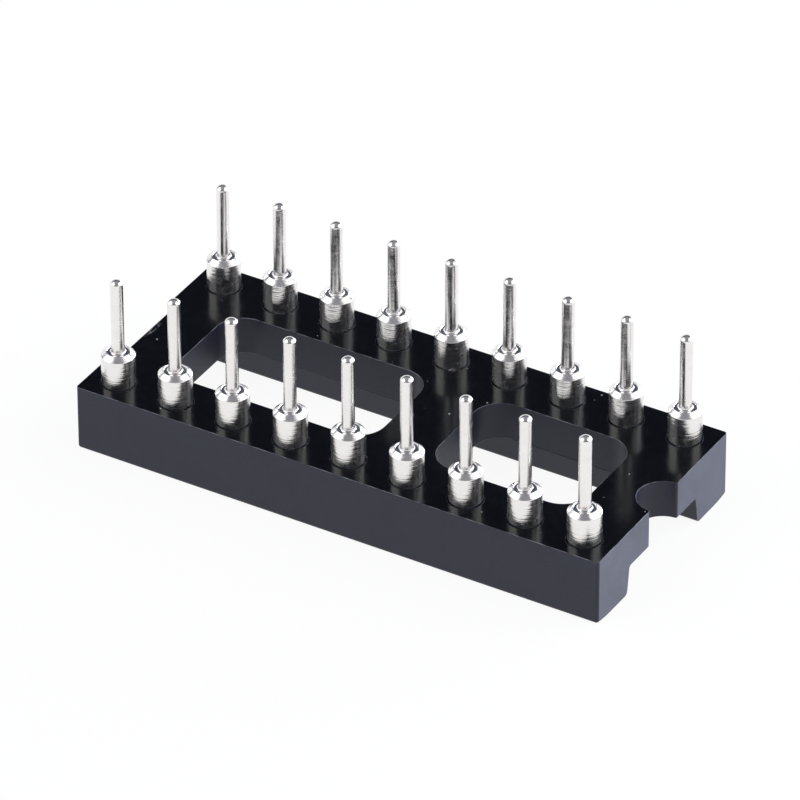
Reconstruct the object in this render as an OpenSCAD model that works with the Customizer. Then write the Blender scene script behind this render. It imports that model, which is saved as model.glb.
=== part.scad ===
// Open-frame dual in-line socket with turned contacts, lying on its mating face, tails up.
// Millimetres. X runs along the two rows towards the notch, and Z points out of the solder side.
// The origin is the middle of the mating face.

/* [Contact grid] */
// Contacts in each of the two rows
pins_per_row = 9; // [8:1:14]
// Distance between neighbouring contacts of a row
pitch = 2.54; // [2.4:0.01:2.8]
// Distance between the two rows' centre lines
row_spacing = 7.62; // [7.4:0.01:15.24]

/* [Frame] */
// Height of the rails, from the mating face to the solder face
frame_height = 2.8; // [2.5:0.05:3.6]
// From the end contacts' centres to the ends of the frame
end_margin = 1.22; // [1.15:0.01:1.6]
// From a row's centre line to the long side of its rail
side_margin = 1.12; // [1.1:0.01:1.6]
// Radius of the frame's upright corners
frame_corner = 0.12; // [0.05:0.01:0.3]
// Thickness of the web that the cross bars are cut from, below the solder face
web_thickness = 1.6; // [1.3:0.05:1.9]
// Radius along the rails' outer edges at the mating face
foot_radius = 0.15; // [0.05:0.01:0.2]
// Width of the gate recess in the plain end
gate_width = 3.7; // [2:0.1:4]
// Depth of the gate recess
gate_depth = 0.35; // [0.1:0.05:0.6]

/* [Windows and recess] */
// Width of the bar across each end of the frame
end_bar = 2.45; // [2.2:0.01:2.8]
// Width of the bar between the two windows
middle_bar = 2.42; // [2:0.01:3.5]
// Length of the window beside the notched end bar; the other window takes the rest
short_window = 6.45; // [4:0.01:7]
// From a row's centre line to the windows' long walls
window_margin = 1.38; // [1.31:0.01:1.6]
// Radius of the windows' corners
window_corner = 1.15; // [0.3:0.05:1.5]
// From a row's centre line to the recess wall, where it meets the web
recess_margin = 1.29; // [1.25:0.01:1.3]
// Lean of the recess walls away from upright, in degrees
recess_draft = 8; // [0:0.5:8]
// Radius in the corner between the recess wall and the web
recess_fillet = 0.3; // [0.1:0.05:0.4]
// Radius of the half-round notch that marks contact 1
notch_radius = 1.03; // [0.6:0.01:1.5]

/* [Turned sleeve] */
// Diameter of the head that is pressed in from the mating side
head_diameter = 1.83; // [1.75:0.01:1.9]
// Length of the head, from the mating face to its seat in the frame
head_length = 1.1; // [1:0.05:1.4]
// Bevel round the head's outer edge
head_bevel = 0.08; // [0.02:0.01:0.1]
// Diameter of the barrel that stands out of the solder face
barrel_diameter = 1.33; // [1.26:0.01:1.4]
// Height of the barrel's straight part over the solder face
barrel_standoff = 1.24; // [0.8:0.01:2]
// Height of the cone between the barrel and the shoulder
shoulder_cone = 0.18; // [0.1:0.01:0.3]
// Diameter of the shoulder that the printed board rests on
shoulder_diameter = 0.96; // [0.85:0.01:1.1]
// Width of the raised rim round the shoulder
rim_width = 0.05; // [0.02:0.01:0.08]
// Depth of the dish inside the rim
dish_depth = 0.04; // [0.01:0.01:0.06]
// Radius of the sweep from the dish into the tail
tail_sweep = 0.1; // [0.04:0.01:0.12]
// Diameter of the solder tail
tail_diameter = 0.5; // [0.44:0.01:0.56]
// Length of the solder tail over the shoulder
tail_length = 3.2; // [2:0.05:4]
// Radius of the domed end of the tail
tip_radius = 0.29; // [0.285:0.005:0.5]
// Width of the ring on the barrel that bites in the frame
grip_width = 0.3; // [0.1:0.05:0.5]
// From the head's seat to the grip ring
grip_distance = 0.5; // [0.2:0.05:0.7]
// Bevel on both sides of the grip ring
grip_bevel = 0.025; // [0.01:0.005:0.025]

/* [Contact bore] */
// Diameter of the mouth that the chip's lead enters
mouth_diameter = 1.4; // [1.3:0.01:1.5]
// Depth of the mouth's cone
mouth_depth = 0.25; // [0.1:0.01:0.35]
// Diameter of the bore that holds the clip's collar
collar_bore = 1.12; // [1.1:0.01:1.16]
// From the mating face to the clip's seat
seat_depth = 1.3; // [1.2:0.05:1.6]
// Diameter of the blind bore past the clip's seat
lead_bore = 0.92; // [0.91:0.01:0.96]
// Metal left between the drill point and the shoulder
nose_wall = 0.4; // [0.3:0.05:0.8]
// Full angle of the drill point, in degrees
drill_angle = 118; // [90:1:140]

/* [Contact clip] */
// From the mating face to the clip's collar
clip_sink = 0.4; // [0.36:0.01:0.6]
// Thickness of the clip's strip
strip_thickness = 0.07; // [0.05:0.005:0.08]
// Inner diameter at the root of the fingers
finger_root = 0.76; // [0.7:0.01:0.76]
// Height of the lip inside the collar that leads to the fingers
lip_height = 0.12; // [0.08:0.01:0.2]
// Opening between the finger tips with no lead in the contact
tip_opening = 0.4; // [0.3:0.01:0.5]
// Length of the fingers past the clip's seat
finger_length = 1.2; // [0.8:0.05:1.3]
// Fingers of each clip
finger_count = 4; // [3:1:6]
// Width of the slots between the fingers
finger_slot = 0.14; // [0.08:0.01:0.18]
// Gap at the seam of the rolled collar
collar_seam = 0.06; // [0.04:0.01:0.1]

/* [Fits] */
// Radial gap between the head and its pocket in the frame
head_clearance = 0.01; // [0.005:0.005:0.03]
// Radial gap between the barrel and its hole in the frame
barrel_clearance = 0.035; // [0.03:0.005:0.06]
// Radial gap between the grip ring and the same hole
grip_clearance = 0.01; // [0.005:0.005:0.02]
// Radial gap between the clip's collar and its bore
collar_clearance = 0.01; // [0.005:0.005:0.02]

/* [Hidden] */
$fn = 64;
over = 1;

contact_count = 2 * pins_per_row;
CONTACTS = [for (n = [1:contact_count]) n];

// Frame
frame_length = (pins_per_row - 1) * pitch + 2 * end_margin;
frame_width = row_spacing + 2 * side_margin;
notched_end = frame_length / 2;
recess_depth = frame_height - web_thickness;
web_recess = row_spacing - 2 * recess_margin;
open_recess = web_recess + 2 * recess_depth * tan(recess_draft);
window_width = row_spacing - 2 * window_margin;
long_window = frame_length - 2 * end_bar - middle_bar - short_window;

// Sleeve
head_radius = head_diameter / 2;
barrel_radius = barrel_diameter / 2;
tail_radius = tail_diameter / 2;
shoulder_radius = shoulder_diameter / 2;
pocket_radius = head_radius + head_clearance;
hole_radius = barrel_radius + barrel_clearance;
grip_radius = hole_radius - grip_clearance;
grip_start = head_length + grip_distance;
cone_start = frame_height + barrel_standoff;
shoulder_level = cone_start + shoulder_cone;
dish_level = shoulder_level - dish_depth;
sweep_radius = tail_radius + tail_sweep;
sweep_level = dish_level + tail_sweep;
tip_level = shoulder_level + tail_length;

// Bore and clip
lead_bore_radius = lead_bore / 2;
drill_point = lead_bore_radius / tan(drill_angle / 2);
bore_end = shoulder_level - nose_wall;
collar_radius = collar_bore / 2 - collar_clearance;
collar_lip = collar_radius - strip_thickness;
root_radius = finger_root / 2;
tip_inner = tip_opening / 2;
finger_end = seat_depth + finger_length;
slot_start = seat_depth + strip_thickness;

// Where contact n stands. Contact 1 is beside the notch, and the count runs round the frame.
function contact_x(n) =
    n <= pins_per_row
    ? notched_end - end_margin - (n - 1) * pitch
    : notched_end - end_margin - (contact_count - n) * pitch;
function contact_y(n) = n <= pins_per_row ? -row_spacing / 2 : row_spacing / 2;

module at_contact(n) {
    translate([contact_x(n), contact_y(n), 0])
        children();
}

// What a radius takes off an outer corner or leaves in an inner one, the corner being at the origin.
module corner_web(radius) {
    difference() {
        square(radius);
        translate([radius, radius])
            circle(radius);
    }
}

// A rectangle of this size round the origin, with rounded corners.
module rounded_rectangle(length, width, radius) {
    difference() {
        square([length, width], center = true);
        for (end = [0, 1], side = [0, 1])
            mirror([end, 0])
                mirror([0, side])
                    translate([-length / 2, -width / 2])
                        corner_web(radius);
    }
}

// The frame seen from above: rounded upright corners, two windows, the notch and the gate recess.
module frame_plan() {
    difference() {
        rounded_rectangle(frame_length, frame_width, frame_corner);
        translate([notched_end, 0])
            circle(notch_radius);
        translate([notched_end - end_bar - short_window / 2, 0])
            rounded_rectangle(short_window, window_width, window_corner);
        translate([-notched_end + end_bar + long_window / 2, 0])
            rounded_rectangle(long_window, window_width, window_corner);
        translate([-notched_end, 0])
            square([2 * gate_depth, gate_width], center = true);
    }
}

// The frame's section across the rows, with the recess for the chip's underside between the rails.
module frame_section() {
    difference() {
        translate([-frame_width / 2, 0])
            square([frame_width, frame_height]);
        polygon([
            [-open_recess / 2, 0],
            [open_recess / 2, 0],
            [web_recess / 2, recess_depth],
            [-web_recess / 2, recess_depth]
        ]);
        translate([-open_recess / 2, -over])
            square([open_recess, over]);
        for (side = [0, 1])
            mirror([side, 0])
                translate([-frame_width / 2, 0])
                    corner_web(foot_radius);
    }
    for (side = [0, 1])
        mirror([side, 0])
            translate([-web_recess / 2, recess_depth])
                mirror([0, 1])
                    corner_web(recess_fillet);
}

module frame() {
    color("#1c1d22")
        difference() {
            intersection() {
                rotate([90, 0, 90])
                    linear_extrude(frame_length + 2 * over, center = true)
                        frame_section();
                translate([0, 0, -over])
                    linear_extrude(frame_height + 2 * over)
                        frame_plan();
            }
            for (n = CONTACTS)
                at_contact(n) {
                    translate([0, 0, -over])
                        cylinder(h = head_length + over, r = pocket_radius);
                    cylinder(h = frame_height + over, r = hole_radius);
                }
        }
}

// Everything that the lathe cuts on the outside of a sleeve, up to the foot of its tail.
module turned_outside() {
    rotate_extrude()
        polygon([
            [0, 0],
            [head_radius - head_bevel, 0],
            [head_radius, head_bevel],
            [head_radius, head_length],
            [barrel_radius, head_length],
            [barrel_radius, grip_start],
            [grip_radius, grip_start + grip_bevel],
            [grip_radius, grip_start + grip_width - grip_bevel],
            [barrel_radius, grip_start + grip_width],
            [barrel_radius, cone_start],
            [shoulder_radius, shoulder_level],
            [shoulder_radius - rim_width, shoulder_level],
            [sweep_radius, dish_level],
            [tail_radius, sweep_level],
            [0, sweep_level]
        ]);
}

module solder_tail() {
    intersection() {
        translate([0, 0, dish_level])
            cylinder(h = tip_level - dish_level, r = tail_radius);
        union() {
            translate([0, 0, tip_level - tip_radius])
                sphere(tip_radius);
            translate([0, 0, dish_level])
                cylinder(h = tip_level - tip_radius - dish_level, r = tip_radius);
        }
    }
}

// The blind bore: a mouth, the clip's bore with its seat, and the drilled bore for the lead.
module contact_bore() {
    rotate_extrude()
        polygon([
            [0, -over],
            [mouth_diameter / 2, -over],
            [mouth_diameter / 2, 0],
            [collar_bore / 2, mouth_depth],
            [collar_bore / 2, seat_depth],
            [lead_bore_radius, seat_depth],
            [lead_bore_radius, bore_end - drill_point],
            [0, bore_end]
        ]);
}

module sleeve(n) {
    color("#d9d9d6")
        at_contact(n)
            difference() {
                union() {
                    turned_outside();
                    solder_tail();
                }
                contact_bore();
            }
}

// A rolled strip: a collar that leads inwards, and fingers that close on the chip's lead.
module clip(n) {
    color("#d8b25a")
        at_contact(n)
            difference() {
                rotate_extrude()
                    polygon([
                        [collar_lip, clip_sink],
                        [collar_radius, clip_sink],
                        [collar_radius, seat_depth],
                        [root_radius + strip_thickness, seat_depth],
                        [tip_inner + strip_thickness, finger_end],
                        [tip_inner, finger_end],
                        [root_radius, seat_depth],
                        [collar_lip, seat_depth - lip_height]
                    ]);
                for (finger = [0:finger_count - 1])
                    rotate([0, 0, finger * 360 / finger_count])
                        translate([0, -finger_slot / 2, slot_start])
                            cube([collar_bore, finger_slot, finger_length + over]);
                translate([0, -collar_seam / 2, 0])
                    cube([collar_bore, collar_seam, finger_end]);
            }
}

frame();
for (n = CONTACTS)
    sleeve(n);
for (n = CONTACTS)
    clip(n);
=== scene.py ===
"""Looks for an 18-way open-frame socket with turned contacts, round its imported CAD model.

It lies on its mating face, tails up. Shapes are made with one unit to a millimetre and brought to metres at
the end, because bevels and cuts of hundredths of a millimetre lose their way at Blender's scale of a metre.
"""

import math
import random

import bmesh
import bpy
from mathutils import Matrix, Vector


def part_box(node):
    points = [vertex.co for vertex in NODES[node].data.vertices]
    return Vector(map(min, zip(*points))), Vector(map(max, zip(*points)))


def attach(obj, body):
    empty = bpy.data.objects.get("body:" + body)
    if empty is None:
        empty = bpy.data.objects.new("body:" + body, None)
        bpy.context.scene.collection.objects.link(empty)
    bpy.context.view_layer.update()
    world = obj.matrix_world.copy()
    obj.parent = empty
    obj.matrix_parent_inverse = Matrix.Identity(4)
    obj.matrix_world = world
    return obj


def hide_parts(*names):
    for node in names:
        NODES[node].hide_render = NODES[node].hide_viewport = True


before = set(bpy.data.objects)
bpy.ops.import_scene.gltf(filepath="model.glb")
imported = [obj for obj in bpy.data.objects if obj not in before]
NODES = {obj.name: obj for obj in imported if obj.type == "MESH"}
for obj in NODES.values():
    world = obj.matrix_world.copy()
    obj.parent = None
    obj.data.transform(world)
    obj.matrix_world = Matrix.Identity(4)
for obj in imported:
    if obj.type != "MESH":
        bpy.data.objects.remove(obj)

bl_info = {
    "name": "Turned-contact socket",
    "version": (1, 0, 0),
    "blender": (4, 5, 0),
    "location": "3D View > Sidebar > Socket",
    "description": "Builds the moulded frame, turned sleeves, clips and stage of a dual in-line socket",
    "category": "Object",
}

MM = 0.001
# How near, in millimetres, a corner lies to the place where it is looked for, on a fresh block and after a cut.
NEAR = 1e-4
NEAR_CUT = 1e-3
# The frame's material slots.
SIDES, FACE, EDGE, PAINTED_LIT_ENDS = range(4)

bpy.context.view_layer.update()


def numbered(prefix):
    """The CAD nodes of one kind, in the order of their contacts."""
    return sorted((name for name in NODES if name.startswith(prefix)), key=lambda name: int(name.split("_")[1]))


FRAME_LOW, FRAME_HIGH = (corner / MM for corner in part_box("frame"))
SLEEVES = numbered("sleeve_")
CLIPS = numbered("clip_")
CENTRES = {name: (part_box(name)[0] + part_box(name)[1]) / 2 / MM for name in SLEEVES}
TIP_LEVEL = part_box(SLEEVES[0])[1].z / MM
HEAD_RADIUS = (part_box(SLEEVES[0])[1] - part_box(SLEEVES[0])[0]).x / 2 / MM


# ---------------------------------------------------------------- Sizes and colours that a user would change

def length(name, description, default, low=0.0, high=0.05):
    """A size in metres, shown in the scene's unit."""
    return bpy.props.FloatProperty(
        name=name, description=description, default=default * MM, min=low, max=high, unit="LENGTH", precision=6
    )


def hue(name, description, default):
    """A colour, kept as its sRGB hex value."""
    return bpy.props.StringProperty(name=name, description=description, default=default)


class FrameSettings(bpy.types.PropertyGroup):
    """Sizes and colours of the moulded frame."""

    upright_corner: length("Upright corner", "Radius of the frame's upright corners", 0.12)
    foot_radius: length("Foot radius", "Radius along the rails' outer edges at the mating face", 0.15)
    web_thickness: length("Web thickness", "Thickness of the web under the solder face", 1.6)
    end_bar: length("End bar", "Width of the bar across each end", 2.45)
    middle_bar: length("Middle bar", "Width of the bar between the windows", 2.42)
    short_window: length("Short window", "Length of the window beside the notch", 6.45)
    window_wall: length("Window wall", "From the middle line to the windows' long walls", 2.43)
    window_corner: length("Window corner", "Radius of the windows' corners", 1.15)
    recess_wall: length("Recess wall", "From the middle line to the recess wall at the web", 2.52)
    recess_lean: bpy.props.FloatProperty(
        name="Recess lean", description="Lean of the recess walls", default=math.radians(8), subtype="ANGLE"
    )
    recess_fillet: length("Recess fillet", "Radius between the recess wall and the web", 0.12)
    recess_foot: length("Recess foot", "Radius along the rails' inner edges at the mating face", 0.15)
    notch_corner: length("Notch corner", "Radius of the upright corners beside the notch", 0.09)
    notch_radius: length("Notch radius", "Radius of the notch that marks contact 1", 1.03)
    gate_width: length("Gate width", "Width of the gate recess in the plain end", 3.7)
    gate_depth: length("Gate depth", "Depth of the gate recess", 0.35)
    head_pocket: length("Head pocket", "Radius of the pocket for a sleeve's head", 0.925)
    head_depth: length("Head depth", "Depth of the pocket for a sleeve's head", 1.1)
    barrel_hole: length("Barrel hole", "Radius of the hole for a sleeve's barrel", 0.70)
    edge_break: length("Edge break", "Width of the broken edges all round", 0.03)
    face_colour: hue("Solder face", "Colour of the polished solder face", "#08090e")
    side_colour: hue("Sides", "Colour of the satin sides", "#10152a")
    # The ends' colour is painted light: far paler than the sides' colour, standing in for the light that falls
    # on the end faces rather than for a coarser mould finish.
    painted_lit_end_colour: hue("Ends", "Colour of the end faces, whose mould walls are the coarsest", "#4f5260")
    # The edges' paler colour is partly rubbed wear and partly painted highlight.
    edge_wear_and_highlight_colour: hue("Edges", "Colour of the rubbed edges", "#8d9099")
    scuff_colour: hue("Scuffs", "Colour of the scuff beside the gate", "#8d9096")
    dust_colour: hue("Dust", "Colour of the dust specks", "#c4c4c6")


class SleeveSettings(bpy.types.PropertyGroup):
    """Sizes and colours of the turned sleeves."""

    segments: bpy.props.IntProperty(
        name="Segments", description="Faces round a sleeve", default=48, min=16, max=96
    )
    barrel_radius: length("Barrel radius", "Radius of the barrel", 0.665)
    cone_start: length("Cone start", "Level where the barrel's cone starts", 4.04)
    shoulder_level: length("Shoulder level", "Level of the shoulder's rim", 4.22)
    shoulder_radius: length("Shoulder radius", "Radius of the shoulder", 0.48)
    tail_radius: length("Tail radius", "Radius of the solder tail", 0.25)
    tip_radius: length("Tip radius", "Radius of the tail's domed end", 0.29)
    grip_radius: length("Grip radius", "Radius of the ring that grips the frame", 0.69)
    grip_low: length("Grip low", "Level of the grip ring's lower edge", 1.6)
    grip_high: length("Grip high", "Level of the grip ring's upper edge", 1.9)
    head_length: length("Head length", "Length of the head pressed into the frame", 1.1)
    mouth_radius: length("Mouth radius", "Radius of the mouth on the mating face", 0.70)
    collar_radius: length("Collar radius", "Radius of the bore for the clip's collar", 0.56)
    collar_depth: length("Collar depth", "Depth of the bore for the clip's collar", 1.3)
    bore_radius: length("Bore radius", "Radius of the bore for the chip's lead", 0.46)
    bore_depth: length("Bore depth", "Depth of the lead's bore at the drill's point", 3.82)
    ring_pitch: length("Ring pitch", "Distance between the tool's rings on the barrel", 0.09)
    ring_depth: length("Ring depth", "Depth of the tool's rings on the barrel", 0.0062)
    tin_colour: hue("Tin", "Colour of the tin plating", "#f6f4f3")
    tin_shade: hue("Tin in the grooves", "Colour of the tin where the plating is thin", "#e6e3e1")


class ClipSettings(bpy.types.PropertyGroup):
    """Colours of the clips inside the sleeves."""

    gold_colour: hue("Gold", "Colour of the gold plating", "#e3bd6c")
    gold_shade: hue("Gold in the bends", "Colour of the gold in the bends", "#c79a4b")


class StageSettings(bpy.types.PropertyGroup):
    """Floor, lamps and camera."""

    floor_colour: hue("Floor", "Colour of the floor", "#ffffff")
    shadow_share: bpy.props.FloatProperty(
        name="Shadow share", description="How much of the object's shadow the floor shows", default=0.10,
        min=0, max=1,
    )
    azimuth: bpy.props.FloatProperty(
        name="Azimuth", description="Camera's angle round the object", default=math.radians(30.739),
        subtype="ANGLE",
    )
    elevation: bpy.props.FloatProperty(
        name="Elevation", description="Camera's angle over the floor", default=math.radians(34.37),
        subtype="ANGLE",
    )
    roll: bpy.props.FloatProperty(
        name="Roll", description="Camera's turn about its own axis", default=math.radians(-0.163),
        subtype="ANGLE",
    )
    distance: length("Distance", "From the camera to the point it looks at", 328.632, high=2.0)
    focal_length: bpy.props.FloatProperty(
        name="Focal length", description="Camera's focal length in millimetres", default=391.1
    )
    room_colour: hue("Room", "Colour of the dim room behind the lamps", "#3e4756")
    ceiling_colour: hue("Ceiling", "Colour of the room's ceiling", "#929398")


# ---------------------------------------------------------------- Helpers

def linear(text):
    """An sRGB hex value as a linear colour."""
    parts = [int(text[i : i + 2], 16) / 255 for i in (1, 3, 5)]
    return [c / 12.92 if c <= 0.04045 else ((c + 0.055) / 1.055) ** 2.4 for c in parts] + [1.0]


def add_node(tree, kind, values=None, links=None, **settings):
    """Adds a node with its properties, its inputs' values and its inputs' links."""
    made = tree.nodes.new(kind)
    for name, value in settings.items():
        setattr(made, name, value)
    for name, value in (values or {}).items():
        made.inputs[name].default_value = value
    for name, source in (links or {}).items():
        tree.links.new(source, made.inputs[name])
    return made


def new_material(name):
    """An empty node material, with the object's own coordinates in millimetres."""
    made = bpy.data.materials.new(name)
    made.use_nodes = True
    tree = made.node_tree
    tree.nodes.clear()
    place = add_node(tree, "ShaderNodeTexCoord")
    return made, tree, mapped(tree, place.outputs["Object"], {"Scale": (1 / MM,) * 3})


def mapped(tree, place, values):
    """Coordinates moved, turned or stretched."""
    return add_node(tree, "ShaderNodeMapping", values, {"Vector": place}).outputs["Vector"]


def noise(tree, place, values):
    """Noise over these coordinates, from 0 to 1."""
    return add_node(tree, "ShaderNodeTexNoise", values, {"Vector": place}).outputs["Fac"]


def remap(tree, value, values, **settings):
    """A value brought from one range to another."""
    return add_node(tree, "ShaderNodeMapRange", values, {"Value": value}, **settings).outputs["Result"]


def calculate(tree, operation, *terms):
    """A sum on two terms. Each is a number or another node's output."""
    values = {i: term for i, term in enumerate(terms) if isinstance(term, float)}
    links = {i: term for i, term in enumerate(terms) if i not in values}
    return add_node(tree, "ShaderNodeMath", values, links, operation=operation).outputs["Value"]


def blend(tree, share, under, over):
    """A colour laid over another by a share. Each is a linear colour or another node's output."""
    ends = {"A": under, "B": over}
    values = {name: colour for name, colour in ends.items() if isinstance(colour, list)}
    links = {name: colour for name, colour in ends.items() if name not in values}
    made = add_node(tree, "ShaderNodeMix", values, {"Factor": share, **links}, data_type="RGBA")
    return made.outputs["Result"]


def bumped(tree, height, strength, distance):
    """A surface direction disturbed by a height. The distance is in metres."""
    made = add_node(tree, "ShaderNodeBump", {"Strength": strength, "Distance": distance}, {"Height": height})
    return made.outputs["Normal"]


def add_surface(tree, values, links):
    """The material's shader and output."""
    shader = add_node(tree, "ShaderNodeBsdfPrincipled", values, links)
    add_node(tree, "ShaderNodeOutputMaterial", None, {"Surface": shader.outputs["BSDF"]})


def pick(*things):
    """Selects only these objects, the first one active."""
    bpy.ops.object.select_all(action="DESELECT")
    for thing in things:
        thing.select_set(True)
    bpy.context.view_layer.objects.active = things[0]


def name_it(name):
    """Names the active object and its mesh."""
    thing = bpy.context.object
    thing.name = thing.data.name = name
    return thing


def add_block(name, low, high):
    """A block from its lowest to its highest corner."""
    bpy.ops.object.select_all(action="DESELECT")
    low, high = Vector(low), Vector(high)
    bpy.ops.mesh.primitive_cube_add(size=1, location=(low + high) / 2, scale=high - low)
    bpy.ops.object.transform_apply()
    return name_it(name)


def select_where(thing, kind, wanted):
    """In edit mode, selects the vertices, edges or faces that pass the test."""
    bpy.ops.mesh.select_mode(type=kind)
    bpy.ops.mesh.select_all(action="DESELECT")
    mesh = bmesh.from_edit_mesh(thing.data)
    for item in {"VERT": mesh.verts, "EDGE": mesh.edges, "FACE": mesh.faces}[kind]:
        item.select = bool(wanted(item))
    mesh.select_flush_mode()
    bmesh.update_edit_mesh(thing.data)


def round_edges(thing, wanted, radius, segments):
    """Rounds the edges that pass the test."""
    pick(thing)
    bpy.ops.object.mode_set(mode="EDIT")
    select_where(thing, "EDGE", wanted)
    bpy.ops.mesh.bevel(offset=radius, segments=segments, affect="EDGES")
    bpy.ops.object.mode_set(mode="OBJECT")


def upright(edge):
    """True for an edge that stands upright."""
    a, b = (v.co for v in edge.verts)
    return abs(a.x - b.x) < NEAR and abs(a.y - b.y) < NEAR


def lengthwise(edge):
    """True for a long edge that runs along the socket."""
    a, b = (v.co for v in edge.verts)
    return abs(a.x - b.x) > 1


def apply_modifier(thing, kind, **settings):
    """Adds a modifier with its settings and applies it."""
    pick(thing)
    made = thing.modifiers.new("work", kind)
    for name, value in settings.items():
        setattr(made, name, value)
    bpy.ops.object.modifier_apply(modifier=made.name)


def give_slot(thing, slot, wanted):
    """Gives a material slot to the faces that pass the test."""
    pick(thing)
    bpy.ops.object.mode_set(mode="EDIT")
    select_where(thing, "FACE", wanted)
    thing.active_material_index = slot
    bpy.ops.object.material_slot_assign()
    bpy.ops.object.mode_set(mode="OBJECT")


def cut(thing, cutter):
    """Cuts one shape out of another."""
    apply_modifier(thing, "BOOLEAN", operation="DIFFERENCE", solver="EXACT", object=cutter)
    bpy.data.objects.remove(cutter)


def to_metres(thing):
    """Brings a shape made in millimetres to metres, with its place in its mesh."""
    pick(thing)
    thing.scale = (MM,) * 3
    thing.location = thing.location * MM
    bpy.ops.object.transform_apply()


def put(thing, slot, *nodes):
    """Makes a finished piece ride on the part, in place of its CAD nodes."""
    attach(thing, "root")
    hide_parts(*nodes)


# ---------------------------------------------------------------- Materials

def polished_moulding(settings):
    """Glass-filled polyester off a polished mould face: near black, with a clear, rippled reflection."""
    made, tree, place = new_material("polyester_polished_moulding")
    ripple = noise(tree, place, {"Scale": 0.7, "Detail": 3.0})
    cloud = noise(tree, place, {"Scale": 2.2, "Detail": 5.0, "Roughness": 0.6})
    bloom = remap(tree, cloud, {"From Min": 0.35, "From Max": 0.75, "To Min": 0.13, "To Max": 0.23})
    # Dust specks up to 0.07 mm across, in about one cell of five.
    cells = add_node(
        tree, "ShaderNodeTexVoronoi", {"Scale": 1.15, "Randomness": 1.0}, {"Vector": place},
        voronoi_dimensions="2D",
    )
    lone = add_node(tree, "ShaderNodeSeparateColor", None, {"Color": cells.outputs["Color"]})
    reach = remap(
        tree, lone.outputs["Red"], {"From Min": 0.82, "From Max": 1.0, "To Min": 0.0, "To Max": 0.042}
    )
    speck = calculate(tree, "LESS_THAN", cells.outputs["Distance"], reach)
    # The scuff beside the gate recess, in fine strokes along the end.
    middle, spread = (-10.93, -0.15, 2.8), (0.16, 0.62, 1.0)
    near = mapped(
        tree, place, {
            "Location": tuple(-at / wide for at, wide in zip(middle, spread)),
            "Scale": tuple(1 / wide for wide in spread),
        },
    )
    ball = add_node(tree, "ShaderNodeTexGradient", None, {"Vector": near}, gradient_type="SPHERICAL")
    inside = remap(tree, ball.outputs["Fac"], {"From Max": 0.6})
    strokes = mapped(tree, place, {"Rotation": (0, 0, 0.5), "Scale": (9, 2.2, 1)})
    grain = noise(tree, strokes, {"Scale": 1.6, "Detail": 4.0})
    worn = calculate(tree, "MULTIPLY", inside, remap(tree, grain, {"From Min": 0.5, "From Max": 0.62}))
    dusty = blend(tree, speck, linear(settings.face_colour), linear(settings.dust_colour))
    add_surface(
        tree, {"IOR": 1.5, "Specular IOR Level": 0.28}, {
            "Base Color": blend(tree, worn, dusty, linear(settings.scuff_colour)),
            "Roughness": calculate(tree, "MAXIMUM", bloom, worn),
            "Normal": bumped(tree, ripple, 0.25, 0.000004),
        },
    )
    return made


def satin_moulding(name, shade):
    """The same polyester off spark-eroded mould walls: satin, so its reflections blur into a slate grey."""
    made, tree, place = new_material(name)
    # Erosion pits are about 0.02 mm across; drawn at 0.05 mm, the finest that shows.
    pits = noise(tree, place, {"Scale": 20.0, "Detail": 2.0})
    flow = noise(tree, place, {"Scale": 0.6, "Detail": 4.0, "Distortion": 0.6})
    tone = remap(tree, flow, {"From Min": 0.3, "From Max": 0.75, "To Min": 0.85, "To Max": 1.25})
    colour = add_node(
        tree, "ShaderNodeVectorMath", {0: linear(shade)[:3]}, {"Scale": tone}, operation="SCALE"
    )
    add_surface(
        tree, {"IOR": 1.5}, {
            "Base Color": colour.outputs["Vector"],
            "Roughness": remap(tree, pits, {"From Min": 0.3, "From Max": 0.7, "To Min": 0.42, "To Max": 0.54}),
            "Normal": bumped(tree, pits, 0.35, 0.000003),
        },
    )
    return made


def edge_wear_and_painted_highlight(settings):
    """The moulding's broken edges, rubbed and nicked in handling. Their paler colour is partly that wear and
    partly painted highlight, broken into short dashes.
    """
    made, tree, place = new_material("polyester_edge_wear_and_painted_highlight")
    nicks = noise(tree, place, {"Scale": 1.6, "Detail": 6.0, "Roughness": 0.7})
    worn = remap(tree, nicks, {"From Min": 0.43, "From Max": 0.62, "To Min": 0.12, "To Max": 1.0})
    add_surface(
        tree, {"IOR": 1.5, "Roughness": 0.42}, {
            "Base Color": blend(tree, worn, linear(settings.side_colour), linear(settings.edge_wear_and_highlight_colour)),
            "Normal": bumped(tree, nicks, 0.5, 0.00001),
        },
    )
    return made


def turned_tin(settings):
    """Bright tin over turned brass: a white metal whose reflection is drawn out along the tool's rings."""
    made, tree, place = new_material("tin_on_turned_brass")
    # Tool rings lie one above the other, so the pattern is stretched round the axis and is fine in height.
    lines = noise(tree, mapped(tree, place, {"Scale": (1.2, 1.2, 34.0)}), {"Scale": 1.0, "Detail": 3.0})
    smear = noise(tree, place, {"Scale": 3.0, "Detail": 4.0})
    add_surface(
        tree, {"Metallic": 1.0}, {
            "Base Color": blend(tree, smear, linear(settings.tin_shade), linear(settings.tin_colour)),
            "Roughness": remap(
                tree, smear, {"From Min": 0.3, "From Max": 0.75, "To Min": 0.15, "To Max": 0.32}
            ),
            "Normal": bumped(tree, lines, 0.6, 0.000006),
        },
    )
    return made


def plated_gold(settings):
    """Gold flash over stamped beryllium copper: warm, bright, with the strip's rolling lines."""
    made, tree, place = new_material("gold_on_stamped_copper")
    lines = noise(tree, mapped(tree, place, {"Scale": (30.0, 30.0, 2.0)}), {"Scale": 1.0, "Detail": 2.0})
    add_surface(
        tree, {"Metallic": 1.0}, {
            "Base Color": blend(tree, lines, linear(settings.gold_shade), linear(settings.gold_colour)),
            "Roughness": remap(tree, lines, {"To Min": 0.16, "To Max": 0.32}),
        },
    )
    return made


# ---------------------------------------------------------------- Pieces

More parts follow.
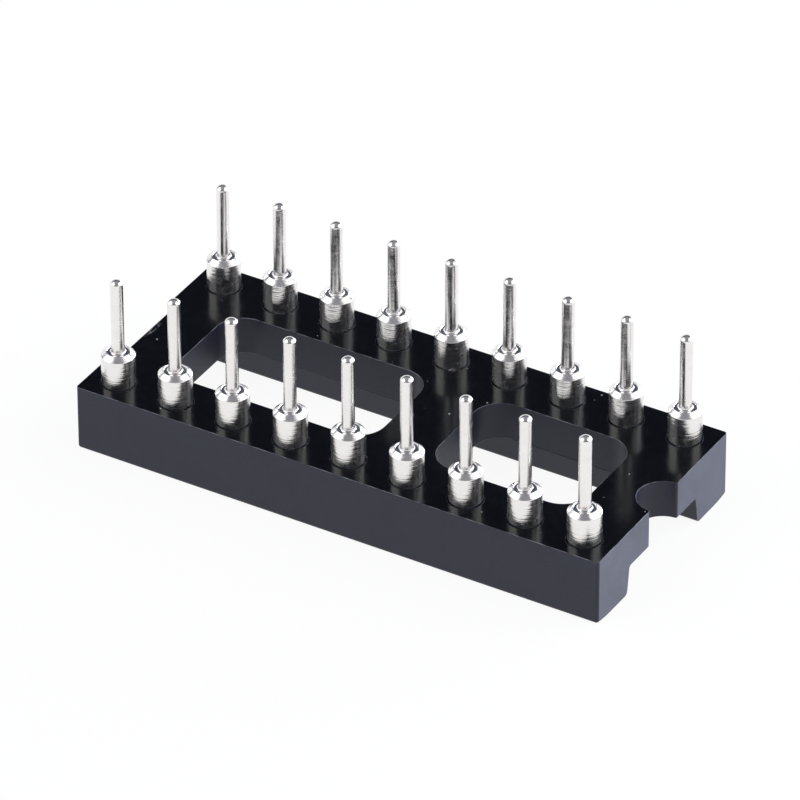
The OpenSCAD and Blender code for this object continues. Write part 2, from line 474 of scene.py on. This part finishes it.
class SOCKET_OT_frame(bpy.types.Operator):
    """Moulded frame: a block with its rounded edges, cut by the recess, the windows, the notch and the holes"""

    bl_idname = "socket.frame"
    bl_label = "Moulded frame"

    def execute(self, context):
        sizes = context.scene.socket_frame
        half, side, top = FRAME_HIGH
        body = add_block("moulded_frame", FRAME_LOW, FRAME_HIGH)
        foot = sizes.foot_radius / MM
        round_edges(
            body,
            lambda e: lengthwise(e)
            and all(abs(v.co.z) < NEAR and abs(abs(v.co.y) - side) < NEAR for v in e.verts),
            foot, 6,
        )
        round_edges(
            body,
            lambda e: abs(e.verts[0].co.z - e.verts[1].co.z) > NEAR
            and all(abs(abs(v.co.x) - half) < NEAR and abs(v.co.y) > side - foot - NEAR_CUT for v in e.verts),
            sizes.upright_corner / MM, 5,
        )

        # The recess for the chip's underside, with leaning walls and a fillet against the web.
        web = top - sizes.web_thickness / MM
        wall = sizes.recess_wall / MM
        recess = add_block("recess", (-half - 1, -wall, 0), (half + 1, wall, web))
        bpy.ops.object.mode_set(mode="EDIT")
        select_where(recess, "FACE", lambda f: f.normal.z < -0.5)
        open_wall = wall + web * math.tan(sizes.recess_lean)
        bpy.ops.transform.resize(value=(1, open_wall / wall, 1))
        bpy.ops.mesh.extrude_region_move(TRANSFORM_OT_translate={"value": (0, 0, -1)})
        bpy.ops.object.mode_set(mode="OBJECT")
        round_edges(
            recess,
            lambda e: lengthwise(e) and all(abs(v.co.z - web) < NEAR for v in e.verts),
            sizes.recess_fillet / MM, 6,
        )
        cut(body, recess)
        round_edges(
            body,
            lambda e: lengthwise(e)
            and all(abs(v.co.z) < NEAR_CUT and abs(abs(v.co.y) - open_wall) < NEAR_CUT for v in e.verts),
            sizes.recess_foot / MM, 5,
        )

        # Two windows with rounded corners.
        bar, middle, short = (v / MM for v in (sizes.end_bar, sizes.middle_bar, sizes.short_window))
        reach = sizes.window_wall / MM
        spans = ((half - bar - short, half - bar), (-half + bar, half - bar - short - middle))
        for start, end in spans:
            window = add_block("window", (start, -reach, -1), (end, reach, top + 1))
            round_edges(window, upright, sizes.window_corner / MM, 14)
            cut(body, window)

        # The notch at the end of contact 1, and the gate recess in the other end.
        notch = sizes.notch_radius / MM
        bpy.ops.object.select_all(action="DESELECT")
        bpy.ops.mesh.primitive_cylinder_add(vertices=96, radius=notch, depth=2 * top + 2, location=(half, 0, 0))
        bpy.ops.object.transform_apply()
        cut(body, name_it("notch"))
        round_edges(
            body,
            lambda e: upright(e)
            and all(abs(v.co.x - half) < NEAR_CUT and abs(abs(v.co.y) - notch) < NEAR_CUT for v in e.verts),
            sizes.notch_corner / MM, 4,
        )
        gate = sizes.gate_width / MM / 2
        cut(body, add_block("gate", (-half - 1, -gate, -1), (-half + sizes.gate_depth / MM, gate, top + 1)))

        # A hole for each barrel with the pocket for its head.
        bpy.ops.object.select_all(action="DESELECT")
        pocket, hole, depth = sizes.head_pocket / MM, sizes.barrel_hole / MM, sizes.head_depth / MM
        bpy.ops.mesh.primitive_cylinder_add(
            vertices=64, radius=pocket, depth=depth + 1, location=(0, 0, (depth - 1) / 2)
        )
        bpy.ops.object.transform_apply()
        drill = name_it("drill")
        bpy.ops.object.mode_set(mode="EDIT")
        select_where(drill, "FACE", lambda f: f.normal.z > 0.5)
        bpy.ops.mesh.extrude_region_move(TRANSFORM_OT_translate={"value": (0, 0, 0)})
        bpy.ops.transform.resize(value=(hole / pocket, hole / pocket, 1))
        bpy.ops.mesh.extrude_region_move(TRANSFORM_OT_translate={"value": (0, 0, top)})
        bpy.ops.object.mode_set(mode="OBJECT")
        drills = []
        for centre in CENTRES.values():
            pick(drill)
            bpy.ops.object.duplicate()
            copy = bpy.context.object
            copy.location = (centre.x, centre.y, 0)
            drills.append(copy)
        bpy.data.objects.remove(drill)
        pick(*drills)
        bpy.ops.object.join()
        bpy.ops.object.transform_apply()
        cut(body, bpy.context.object)

        # Broken edges all round, in a finish of their own whose paler colour is partly rubbed wear and partly
        # painted highlight.
        pick(body)
        bpy.ops.object.mode_set(mode="EDIT")
        bpy.ops.mesh.select_all(action="SELECT")
        bpy.ops.mesh.remove_doubles(threshold=1e-4)
        bpy.ops.mesh.dissolve_limited(angle_limit=math.radians(0.5))
        bpy.ops.object.mode_set(mode="OBJECT")
        sides = satin_moulding("polyester_satin_sides", sizes.side_colour)
        # The end faces get a copy of the satin material painted lighter, as painted light.
        ends = satin_moulding("polyester_satin_ends_painted_lighter", sizes.painted_lit_end_colour)
        for material in (sides, polished_moulding(sizes), edge_wear_and_painted_highlight(sizes), ends):
            body.data.materials.append(material)
        give_slot(body, FACE, lambda f: f.normal.z > 0.99 and f.calc_center_median().z > top - 0.01)
        give_slot(body, PAINTED_LIT_ENDS, lambda f: abs(f.normal.x) > 0.99 and abs(f.calc_center_median().x) > half - 0.01)
        apply_modifier(
            body, "BEVEL", width=sizes.edge_break / MM, segments=2, limit_method="ANGLE",
            angle_limit=math.radians(40), material=EDGE, use_clamp_overlap=True,
        )
        # The holes' rims keep the sides' colour, without the wear and painted highlight of the other edges.
        give_slot(
            body, SIDES, lambda f: f.material_index == EDGE and any(
                (f.calc_center_median() - c).xy.length < pocket + 0.05 for c in CENTRES.values()
            ),
        )
        bpy.ops.object.shade_smooth_by_angle(angle=math.radians(50))
        apply_modifier(body, "WEIGHTED_NORMAL", keep_sharp=True, weight=80)
        to_metres(body)
        put(body, "frame", "frame")
        return {"FINISHED"}


def arc(middle, radius, start, end, steps):
    """Points of an arc in a sleeve's section, as distance from the axis and level, at angles in degrees."""
    return [
        (middle[0] + radius * math.cos(math.radians(a)), middle[1] + radius * math.sin(math.radians(a)))
        for a in (start + (end - start) * i / steps for i in range(steps + 1))
    ]


def rings(start, end, pitch, depth, seed):
    """A straight of a sleeve's section with the hollow rings of the lathe's tool, each a little different."""
    chance = random.Random(seed)
    start, end = Vector(start), Vector(end)
    along = (end - start).normalized()
    inward = Vector((along.y, -along.x))
    count = max(1, round((end - start).length / pitch))
    points = []
    for i in range(count):
        bite = depth * chance.uniform(0.35, 1.3)
        for part, share in ((0.0, 0.0), (0.3, 0.8), (0.7, 0.8)):
            spot = start.lerp(end, (i + part) / count) + inward * bite * share
            points.append((spot.x, spot.y))
    return points + [tuple(end)]


def sleeve_section(sizes):
    """Half the section of a sleeve, from the tail's tip down the outside and up the bore to the drill point."""
    barrel, cone, shoulder = (v / MM for v in (sizes.barrel_radius, sizes.cone_start, sizes.shoulder_level))
    rim, tail, tip = (v / MM for v in (sizes.shoulder_radius, sizes.tail_radius, sizes.tip_radius))
    grip, grip_low, grip_high = (v / MM for v in (sizes.grip_radius, sizes.grip_low, sizes.grip_high))
    mouth, collar, collar_end = (v / MM for v in (sizes.mouth_radius, sizes.collar_radius, sizes.collar_depth))
    bore, bore_end, seat = (v / MM for v in (sizes.bore_radius, sizes.bore_depth, sizes.head_length))
    pitch, depth = sizes.ring_pitch / MM, sizes.ring_depth / MM
    head = HEAD_RADIUS

    # The tail: its dome, a small blend, its side and the dish at its foot.
    edge = math.degrees(math.asin((tail - 0.03) / tip))
    points = arc((0, TIP_LEVEL - tip), tip, 90, 90 - edge, 8)
    dome_end = points[-1][1]
    points += [(tail - 0.011, dome_end - 0.018), (tail - 0.002, dome_end - 0.05)]
    points += rings((tail, dome_end - 0.1), (tail, shoulder + 0.09), 0.11, 0.0007, 3)
    dish = 0.1
    points += arc((tail + dish, shoulder + 0.06), dish, 180, 262, 6)[1:]

    # The shoulder's rim, the cone and the barrel.
    points += [(rim - 0.06, shoulder - 0.038), (rim - 0.045, shoulder - 0.008)]
    points += arc((rim - 0.03, shoulder - 0.03), 0.03, 110, 45, 4)
    points += rings((rim + 0.004, shoulder - 0.018), (barrel - 0.03, cone + 0.034), 0.07, 0.0014, 5)
    points += arc((barrel - 0.06, cone - 0.01), 0.06, 45, 0, 4)[1:]
    points += rings((barrel, cone - 0.02), (barrel, FRAME_HIGH.z - 0.1), pitch, depth, 7)

    # Inside the frame: the grip ring with its slopes, and the head.
    slope = 0.025
    points += [(barrel, grip_high), (grip, grip_high - slope), (grip, grip_low + slope), (barrel, grip_low)]
    points += [(barrel, seat), (head - 0.03, seat), (head - 0.009, seat - 0.009), (head, seat - 0.03)]
    points += rings((head, seat - 0.05), (head, 0.1), 0.11, 0.002, 9)
    foot = 0.08
    points += arc((head - foot, foot), foot, 0, -90, 5)[1:]

    # The mouth, the collar's bore and the lead's bore with the point of a 118 degree drill.
    lip = 0.02
    points += [(mouth + 0.1, 0.0)] + arc((mouth + lip, lip), lip, 270, 220, 3)
    points += rings((mouth - 0.003, 0.012), (collar + 0.015, 0.234), 0.06, 0.0015, 11)
    points += [(collar + 0.003, 0.244), (collar, 0.27), (collar, collar_end), (bore, collar_end)]
    drill_level = bore_end - bore / math.tan(math.radians(118 / 2))
    points += [(bore, drill_level), (bore / 2, (drill_level + bore_end) / 2), (0.0, bore_end)]
    return points


class SOCKET_OT_sleeves(bpy.types.Operator):
    """Turned sleeves: a section drawn point by point and spun round its axis, then copied to each contact"""

    bl_idname = "socket.sleeves"
    bl_label = "Turned sleeves"

    def execute(self, context):
        sizes = context.scene.socket_sleeve
        section = sleeve_section(sizes)
        bpy.ops.object.select_all(action="DESELECT")
        bpy.ops.mesh.primitive_plane_add(size=1)
        first = name_it("turned_sleeve")
        bpy.ops.object.mode_set(mode="EDIT")
        bpy.ops.mesh.select_mode(type="VERT")
        bpy.ops.mesh.select_all(action="SELECT")
        bpy.ops.mesh.merge(type="CENTER")
        bpy.ops.transform.translate(value=(section[0][0], 0, section[0][1]))
        for (r0, z0), (r1, z1) in zip(section, section[1:]):
            bpy.ops.mesh.extrude_region_move(TRANSFORM_OT_translate={"value": (r1 - r0, 0, z1 - z0)})
        bpy.ops.mesh.select_all(action="SELECT")
        bpy.ops.mesh.spin(steps=sizes.segments, angle=2 * math.pi, center=(0, 0, 0), axis=(0, 0, 1))
        bpy.ops.mesh.select_all(action="SELECT")
        bpy.ops.mesh.remove_doubles(threshold=1e-5)
        bpy.ops.mesh.normals_make_consistent(inside=False)
        bpy.ops.object.mode_set(mode="OBJECT")
        bpy.ops.object.shade_smooth_by_angle(angle=math.radians(38))
        first.data.materials.append(turned_tin(sizes))
        chance = random.Random(18)
        for node, centre in CENTRES.items():
            pick(first)
            bpy.ops.object.duplicate()
            sleeve = name_it("turned_" + node)
            sleeve.rotation_euler.z = chance.uniform(0, math.tau)
            sleeve.location = (centre.x, centre.y, 0)
            bpy.ops.object.transform_apply()
            to_metres(sleeve)
            put(sleeve, "sleeve", node)
        bpy.data.objects.remove(first)
        return {"FINISHED"}


class SOCKET_OT_clips(bpy.types.Operator):
    """Clips: the CAD clips in their gold finish"""

    bl_idname = "socket.clips"
    bl_label = "Clips"

    def execute(self, context):
        gold = plated_gold(context.scene.socket_clip)
        for node in CLIPS:
            clip = NODES[node]
            clip.data.materials.clear()
            clip.data.materials.append(gold)
        return {"FINISHED"}


def direction(turn, lift):
    """From the middle of the stage to a place at this angle round it and this angle over the floor."""
    return Vector((math.sin(turn) * math.cos(lift), -math.cos(turn) * math.cos(lift), math.sin(lift)))


def add_floor(sizes):
    """White paper under the object."""
    bpy.ops.object.select_all(action="DESELECT")
    bpy.ops.mesh.primitive_circle_add(vertices=96, radius=4, fill_type="NGON", location=(0, 0, -0.00001))
    bpy.ops.object.transform_apply()
    floor = name_it("floor")
    paper = bpy.data.materials.new("white_paper")
    paper.use_nodes = True
    tree = paper.node_tree
    tree.nodes.clear()
    # What the camera, metal and gloss see is white paper with a share of the object's shadow.
    ray = add_node(tree, "ShaderNodeLightPath").outputs
    seen = calculate(tree, "MAXIMUM", ray["Is Camera Ray"], ray["Is Glossy Ray"])
    white = calculate(tree, "MAXIMUM", seen, ray["Is Transmission Ray"])
    glow = calculate(tree, "MULTIPLY", white, 1 - 0.8 * sizes.shadow_share)
    cover = remap(tree, white, {"To Min": 0.9, "To Max": sizes.shadow_share})
    tint = linear(sizes.floor_colour)
    matt = add_node(tree, "ShaderNodeVectorMath", {0: tint[:3]}, {"Scale": cover}, operation="SCALE")
    diffuse = add_node(tree, "ShaderNodeBsdfDiffuse", None, {"Color": matt.outputs["Vector"]})
    light = add_node(tree, "ShaderNodeEmission", {"Color": tint}, {"Strength": glow})
    both = add_node(
        tree, "ShaderNodeAddShader", None, {0: diffuse.outputs["BSDF"], 1: light.outputs["Emission"]}
    )
    add_node(tree, "ShaderNodeOutputMaterial", None, {"Surface": both.outputs["Shader"]})
    floor.data.materials.append(paper)


def add_lamp(name, turn, lift, wide, high, glow_level, tint):
    """A soft box at an angle round the object and over the floor, that looks this bright from the object."""
    data = bpy.data.lights.new(name, "AREA")
    data.shape = "RECTANGLE"
    data.size, data.size_y = wide, high
    data.energy = glow_level * math.pi * wide * high
    data.color = linear(tint)[:3]
    made = bpy.data.objects.new(name, data)
    bpy.context.scene.collection.objects.link(made)
    back = direction(math.radians(turn), math.radians(lift))
    made.location = back * 0.65
    made.rotation_euler = back.to_track_quat("Z", "Y").to_euler()
    made.visible_camera = False


def add_room(scene, sizes):
    """A dark room round the paper, which curves up at its edge, under a pale ceiling."""
    world = bpy.data.worlds.new("dim_room")
    scene.world = world
    world.use_nodes = True
    tree = world.node_tree
    tree.nodes.clear()
    look = add_node(tree, "ShaderNodeTexCoord")
    height = add_node(tree, "ShaderNodeSeparateXYZ", None, {"Vector": look.outputs["Generated"]}).outputs["Z"]
    wall = remap(tree, height, {"From Min": 0.22, "From Max": 0.46}, interpolation_type="SMOOTHSTEP")
    ceiling = remap(tree, height, {"From Min": 0.62, "From Max": 0.92}, interpolation_type="SMOOTHSTEP")
    lower = blend(tree, wall, linear("#ffffff"), linear(sizes.room_colour))
    tone = blend(tree, ceiling, lower, linear(sizes.ceiling_colour))
    back = add_node(tree, "ShaderNodeBackground", {"Strength": 1.0}, {"Color": tone})
    add_node(tree, "ShaderNodeOutputWorld", None, {"Surface": back.outputs["Background"]})


def add_camera(scene, sizes):
    """The camera, at its angles and distance from the point it looks at."""
    data = bpy.data.cameras.new("camera")
    data.sensor_width = 36
    data.lens = sizes.focal_length
    data.clip_start, data.clip_end = 0.01, 20
    camera = bpy.data.objects.new("camera", data)
    scene.collection.objects.link(camera)
    back = direction(sizes.azimuth, sizes.elevation)
    side = Matrix.Rotation(sizes.roll, 3, back) @ Vector((math.cos(sizes.azimuth), math.sin(sizes.azimuth), 0))
    over = back.cross(side)
    aim = (Vector((-0.318, 0.505, 2.8)) + over * 0.019) * MM
    turned = Matrix((side, over, back)).transposed().to_4x4()
    camera.matrix_world = Matrix.Translation(aim + back * sizes.distance) @ turned
    scene.camera = camera
    scene.view_settings.view_transform = "Standard"


class SOCKET_OT_stage(bpy.types.Operator):
    """Floor, lamps, dim room and camera"""

    bl_idname = "socket.stage"
    bl_label = "Stage"

    def execute(self, context):
        sizes = context.scene.socket_stage
        add_floor(sizes)
        # Two soft boxes left and right of the camera, and a low one behind on the right.
        add_lamp("lamp_left", -56, 42, 0.64, 0.46, 1.8, "#ffffff")
        add_lamp("lamp_right", 116, 42, 0.64, 0.46, 1.8, "#ffffff")
        add_lamp("lamp_low", 150, 10, 0.75, 0.20, 10.0, "#e4ebff")
        add_room(context.scene, sizes)
        add_camera(context.scene, sizes)
        return {"FINISHED"}


class SOCKET_PT_panel(bpy.types.Panel):
    """Lists the pieces and their sizes in the sidebar"""

    bl_label = "Turned-contact socket"
    bl_idname = "SOCKET_PT_panel"
    bl_space_type = "VIEW_3D"
    bl_region_type = "UI"
    bl_category = "Socket"

    def draw(self, context):
        for group, operator in (
            (context.scene.socket_frame, "socket.frame"),
            (context.scene.socket_sleeve, "socket.sleeves"),
            (context.scene.socket_clip, "socket.clips"),
            (context.scene.socket_stage, "socket.stage"),
        ):
            box = self.layout.box()
            for name in group.__annotations__:
                box.prop(group, name)
            box.operator(operator)


CLASSES = (
    FrameSettings, SleeveSettings, ClipSettings, StageSettings,
    SOCKET_OT_frame, SOCKET_OT_sleeves, SOCKET_OT_clips, SOCKET_OT_stage, SOCKET_PT_panel,
)
GROUPS = {
    "socket_frame": FrameSettings, "socket_sleeve": SleeveSettings, "socket_clip": ClipSettings,
    "socket_stage": StageSettings,
}


def register():
    for made in CLASSES:
        bpy.utils.register_class(made)
    for name, group in GROUPS.items():
        setattr(bpy.types.Scene, name, bpy.props.PointerProperty(type=group))


def unregister():
    for name in GROUPS:
        delattr(bpy.types.Scene, name)
    for made in reversed(CLASSES):
        bpy.utils.unregister_class(made)


def main():
    register()
    bpy.ops.socket.stage()
    bpy.ops.socket.frame()
    bpy.ops.socket.sleeves()
    bpy.ops.socket.clips()


if __name__ == "__main__":
    main()
